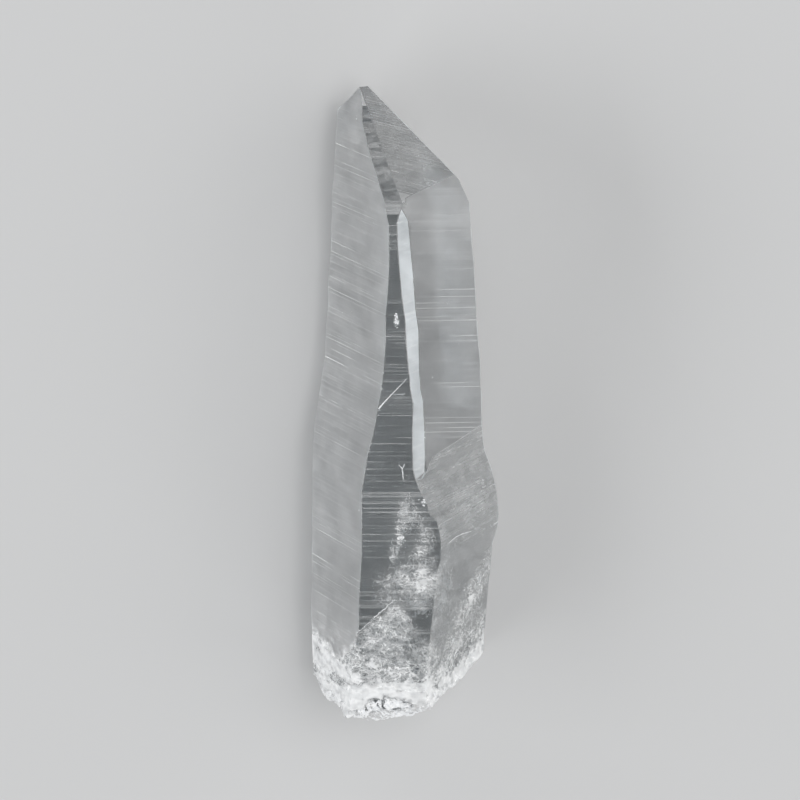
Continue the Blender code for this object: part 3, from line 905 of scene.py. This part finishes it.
def thicken(points, cells, thickness):
    """Closed thin shells from the kept cells of a grid of points."""
    rows_, columns_ = cells.shape
    slope_i, slope_j = np.gradient(points, axis=0), np.gradient(points, axis=1)
    normal = np.cross(slope_j, slope_i)
    normal /= np.linalg.norm(normal, axis=2, keepdims=True) + 1e-9
    index = np.arange(points.shape[0] * points.shape[1]).reshape(points.shape[:2])
    corners = [index[:-1, :-1], index[:-1, 1:], index[1:, 1:], index[1:, :-1]]
    quads = np.stack([c[cells] for c in corners], 1)
    if not len(quads):
        return np.zeros((0, 3)), np.zeros((0, 4), int)
    count = index.size
    faces = [quads, quads[:, ::-1] + count]
    padded = np.pad(cells, 1)
    for (di, dj), (a, b) in zip(((-1, 0), (0, 1), (1, 0), (0, -1)), ((0, 1), (1, 2), (2, 3), (3, 0))):
        open_side = cells & ~padded[1 + di:1 + di + rows_, 1 + dj:1 + dj + columns_]
        first, second = corners[a][open_side], corners[b][open_side]
        faces.append(np.stack([second, first, first + count, second + count], 1))
    faces = np.concatenate(faces)
    used, faces = np.unique(faces, return_inverse=True)
    flat = points.reshape(-1, 3)
    normal = normal.reshape(-1, 3)
    both = np.concatenate([flat + normal * thickness / 2, flat - normal * thickness / 2])
    return both[used], faces.reshape(-1, 4)


def joined(parts):
    verts, faces, start = [], [], 0
    for points, quads in parts:
        verts.append(points)
        faces += (np.asarray(quads) + start).tolist()
        start += len(points)
    return np.concatenate(verts), faces


add_piece("veils_front", *joined([veil(11, 0.6, (0.05, 0.02), 1.0, 0.11, 0.5), veil(23, 1.8, (-0.12, 0.05), 1.0, 0.11)]))
add_piece("veils_middle", *joined([veil(37, 3.8, (0.22, -0.1), 0.95, 0.12), veil(41, 6.2, (-0.25, 0.12), 0.85, 0.13)]))
add_piece("veils_deep", *joined([veil(53, 9.0, (0.3, 0.1), 0.8, 0.15), veil(67, 12.0, (-0.2, -0.15), 0.7, 0.16)]))


def shards(places, sizes, seed, flat=0.25):
    """Small flat flakes, one at each place: an uneven ring of six points with one over it and one under."""
    draw = np.random.default_rng(seed)
    verts, faces = [], []
    ring = 6
    for place, size in zip(places, sizes):
        turn = draw.normal(size=(3, 3))
        q, _ = np.linalg.qr(turn)
        angle = np.sort(draw.uniform(0, 2 * math.pi, ring))
        radius = size * draw.uniform(0.45, 1.0, ring) / 2
        local = [np.array([math.cos(a) * r, math.sin(a) * r, 0.0]) for a, r in zip(angle, radius)]
        local += [np.array([0.0, 0.0, size * flat / 2]), np.array([0.0, 0.0, -size * flat / 2])]
        start = len(verts)
        verts += [np.asarray(place) + q @ p for p in local]
        for k in range(ring):
            m = (k + 1) % ring
            faces.append((start + k, start + m, start + ring))
            faces.append((start + m, start + k, start + ring + 1))
    return np.array(verts), faces


def sunk(u, v, depth):
    """A point this deep under the surface that is seen at a place of the view, along the surface's normal."""
    point, normal = surface_at(u, v)
    return point - normal * depth


def sprinkle(seed, count):
    """Flakes through the cloudy part, more where it is cloudier."""
    draw = np.random.default_rng(seed)
    places, sizes = [], []
    while len(places) < count:
        p = np.stack([draw.uniform(-11, 13.5, 4000), draw.uniform(-46.5, -8, 4000), np.zeros(4000)], 1)
        top, under = height(top_map, p[:, 0], p[:, 1]), height(under_map, p[:, 0], p[:, 1])
        p[:, 2] = top - 0.35 - draw.uniform(0, 1, 4000) ** 2 * 12.0
        u, v = pixel_of(p)
        keep = (top > 0) & (p[:, 2] > under + 0.4) & (draw.uniform(0, 1, 4000) < cloudiness(u, v) ** 1.5)
        places += list(p[keep])
    places = places[:count]
    sizes = np.clip(draw.lognormal(math.log(0.11), 0.5, count), 0.05, 0.4)
    return shards(places, sizes, seed + 1)


def cluster(seed, spots):
    """Small bright groups of flakes at places of the view: place, spread in pixels each way, how many, size, depth."""
    draw = np.random.default_rng(seed)
    places, sizes = [], []
    for u, v, du, dv, count, size, depth in spots:
        for _ in range(count):
            found = surface_at(u + draw.normal() * du, v + draw.normal() * dv)
            if found is None:
                continue
            point, normal = found
            places.append(point - normal * (depth + draw.uniform(-0.04, 0.12)))
            sizes.append(size * draw.uniform(0.6, 1.3))
    return shards(places, sizes, seed + 1, 0.35)


add_piece("flakes", *sprinkle(71, 2600))
SPARKS = (
    (396.0, 316.5, 0.7, 1.6, 14, 0.5, -0.05), (396.3, 322.5, 1.2, 1.9, 26, 0.62, -0.06), (397.0, 311.0, 2.2, 2.6, 5, 0.14, 0.0),
    (404.2, 394.2, 0.6, 0.4, 4, 0.2, 0.0), (432.3, 377.8, 0.3, 0.8, 5, 0.24, -0.03), (378.5, 410.0, 1.0, 2.0, 8, 0.22, -0.02),
    (423.6, 500.7, 1.4, 1.8, 18, 0.5, -0.05), (401.0, 538.4, 1.8, 1.6, 22, 0.5, -0.05), (396.5, 529.0, 0.4, 0.5, 3, 0.24, 0.0),
    (482.8, 483.6, 1.3, 1.7, 12, 0.36, -0.05), (359.3, 510.3, 0.4, 0.6, 4, 0.26, 0.0), (411.6, 566.9, 1.6, 2.2, 10, 0.34, 0.0),
    (453.0, 638.7, 2.0, 2.2, 18, 0.44, -0.04), (479.4, 580.0, 1.2, 4.5, 22, 0.42, -0.03), (474.5, 594.0, 2.2, 4.5, 24, 0.4, -0.03),
    (469.0, 604.0, 2.6, 2.4, 12, 0.34, -0.02), (464.0, 590.0, 1.0, 3.0, 8, 0.28, -0.02), (386.9, 670.5, 2.2, 2.2, 20, 0.38, -0.03),
    (469.8, 654.6, 1.6, 1.8, 14, 0.4, -0.04), (484.0, 560.0, 0.8, 3.0, 8, 0.3, -0.02), (451.5, 649.0, 3.0, 1.2, 8, 0.3, 0.0),
    (403.8, 202.1, 0.7, 0.4, 5, 0.2, -0.02), (357.6, 118.2, 1.0, 1.0, 7, 0.22, -0.02), (373.0, 224.0, 0.3, 0.9, 3, 0.18, -0.02), (373.4, 229.3, 0.3, 0.5, 2, 0.16, -0.02),
    (394.4, 126.2, 0.3, 0.3, 2, 0.2, -0.02), (418.5, 155.7, 0.7, 0.7, 4, 0.18, -0.02), (457.8, 206.6, 0.3, 0.4, 2, 0.2, -0.02), (342.0, 313.0, 0.3, 0.3, 2, 0.2, -0.02),
    (351.6, 311.5, 0.3, 0.3, 2, 0.18, -0.02), (458.7, 344.5, 0.3, 0.3, 2, 0.2, -0.02), (464.7, 343.2, 0.3, 0.7, 3, 0.18, -0.02), (466.0, 314.6, 0.3, 0.5, 2, 0.18, -0.02),
    (447.0, 302.0, 2.6, 1.0, 7, 0.12, -0.02), (381.5, 388.0, 0.5, 0.7, 4, 0.22, -0.02), (383.3, 372.5, 0.3, 0.5, 3, 0.2, -0.02), (411.0, 412.0, 0.3, 0.4, 2, 0.2, -0.02),
)
add_piece("sparks", *cluster(83, SPARKS))


def thread(route, width, seed, depth=0.02, waver=0.0):
    """A thin closed strip under the surface, along places of the view."""
    draw = np.random.default_rng(seed)
    points, widths = [], []
    for (u0, v0, w0), (u1, v1, w1) in zip(route[:-1], route[1:]):
        steps = max(2, int(math.hypot(u1 - u0, v1 - v0) / 1.2))
        for step in range(steps + (1 if (u1, v1, w1) == route[-1] else 0)):
            t = step / steps
            u, v = u0 + (u1 - u0) * t + draw.normal() * waver, v0 + (v1 - v0) * t + draw.normal() * waver
            found = surface_at(u, v)
            if found is None:
                continue
            points.append((found[0] - found[1] * depth, found[1]))
            widths.append(width * (w0 + (w1 - w0) * t) * draw.uniform(0.75, 1.25))
    verts, faces = [], []
    for k, ((p, normal), wide) in enumerate(zip(points, widths)):
        ahead = points[min(k + 1, len(points) - 1)][0] - points[max(k - 1, 0)][0]
        across = ahead.cross(normal).normalized()
        for a, b in ((-0.5, 0.0), (0.0, 0.3), (0.5, 0.0), (0.0, -0.3)):
            verts.append(p + across * (a * wide) + normal * (b * wide))
        if k:
            start = 4 * (k - 1)
            for m in range(4):
                faces.append((start + m, start + (m + 1) % 4, start + 4 + (m + 1) % 4, start + 4 + m))
    last = len(verts) - 4
    faces.append((3, 2, 1, 0))
    faces.append((last, last + 1, last + 2, last + 3))
    return np.array([v[:] for v in verts]), faces


def joined_mixed(parts):
    verts, faces, start = [], [], 0
    for points, some in parts:
        verts.append(points)
        faces += [tuple(int(i) + start for i in face) for face in some]
        start += len(points)
    return np.concatenate(verts), faces


threads = [
    thread(((407.0, 378.5, 0.45), (394.0, 392.0, 0.8), (384.0, 402.5, 1.3), (378.5, 409.0, 1.8)), 0.13, 91),
    thread(((406.5, 379.5, 0.3), (392.0, 394.5, 0.6), (381.0, 406.5, 0.9)), 0.08, 92, 0.5, 0.15),
    thread(((390.0, 394.3, 0.3), (403.5, 394.2, 1.0)), 0.09, 93),
    thread(((398.6, 464.8, 0.7), (402.3, 468.8, 1.0), (402.8, 474.0, 1.0), (403.2, 480.5, 0.4)), 0.13, 94, 0.02, 0.2),
    thread(((404.6, 464.2, 0.6), (402.6, 468.8, 1.0)), 0.12, 95, 0.02, 0.2),
    thread(((356.0, 633.5, 0.7), (368.0, 623.5, 1.0), (382.0, 611.5, 1.1), (395.5, 599.0, 0.8)), 0.12, 96, 0.03, 0.5),
    thread(((358.0, 636.5, 0.6), (372.0, 622.5, 0.8), (388.0, 608.5, 0.7)), 0.12, 97, 0.6, 0.5),
    thread(((449.0, 543.0, 1.0), (456.0, 537.0, 1.0), (463.0, 533.6, 1.0), (471.0, 531.5, 0.7)), 0.11, 98, 0.02),
    thread(((494.0, 524.5, 0.6), (500.0, 520.3, 1.1)), 0.13, 99, 0.02),
]
add_piece("fine_cracks", *joined_mixed(threads))
print("inclusions", triangles_made, round(time.time() - START, 1), "s")

# ------------------------------------------------------------------ stage, light, camera
bpy.ops.mesh.primitive_plane_add(size=6.0, location=(0, 0, -0.0002))
floor = bpy.context.object
floor.name = "floor"
n = Nodes("floor_paper")
n.put(n.shader.inputs["Base Color"], (0.61, 0.61, 0.61, 1.0))
n.shader.inputs["Roughness"].default_value = 0.9
floor.data.materials.append(n.material)

world = bpy.data.worlds.new("studio")
bpy.context.scene.world = world
world.use_nodes = True
world.node_tree.nodes["Background"].inputs["Color"].default_value = (0.9, 0.92, 0.94, 1.0)
world.node_tree.nodes["Background"].inputs["Strength"].default_value = 0.36


SET_BACK = 2.2  # the boxes stand this much further off than they are listed, larger and stronger in step
GRID = math.radians(128)  # a grid on each box keeps its light off the floor right under it


def softbox(name, direction, away, size, watts, color=(1.0, 1.0, 1.0)):
    lamp = bpy.data.lights.new(name, "AREA")
    lamp.shape = "RECTANGLE"
    lamp.size, lamp.size_y = (side * SET_BACK for side in size)
    lamp.spread = GRID
    lamp.energy = 1.1 * watts * SET_BACK ** 2 * (1.0 - 0.5 * GRID / math.tan(0.5 * GRID))
    lamp.color = color
    obj = bpy.data.objects.new(name, lamp)
    bpy.context.scene.collection.objects.link(obj)
    position = Vector(direction).normalized() * away * SET_BACK
    obj.location = position
    obj.rotation_euler = (-position).to_track_quat("-Z", "Y").to_euler()
    return obj


softbox("left_softbox", (-0.93, -0.26, 0.46), 1.1, (1.3, 0.5), 7.0, (0.985, 0.993, 1.0))
softbox("right_softbox", (0.88, 0.1, 0.4), 1.2, (1.2, 0.8), 4.0, (1.0, 0.99, 0.97))
softbox("tip_softbox", (-0.45, 0.87, 0.2), 1.1, (0.8, 0.4), 2.4)
softbox("top_softbox", (0.35, 0.3, 0.86), 1.2, (0.9, 0.9), 6.5)
softbox("base_softbox", (0.5, -0.82, 0.3), 1.1, (0.7, 0.4), 1.8)
bpy.context.scene.view_settings.view_transform = "Standard"

camera_data = bpy.data.cameras.new("camera")
camera = bpy.data.objects.new("camera", camera_data)
bpy.context.scene.collection.objects.link(camera)
bpy.context.scene.camera = camera
camera.location = to_world(AIM + Vector((0, math.sin(TILT), math.cos(TILT))) * CAMERA_AWAY)
camera.rotation_euler = (-TILT, 0.0, 0.0)
camera_data.sensor_width = 36.0
camera_data.lens = 36.0 * CAMERA_AWAY * PIXELS_PER_MM / 800.0
camera_data.clip_start = 0.01
camera_data.clip_end = 50.0

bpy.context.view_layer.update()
print("script", round(time.time() - START, 1), "s")
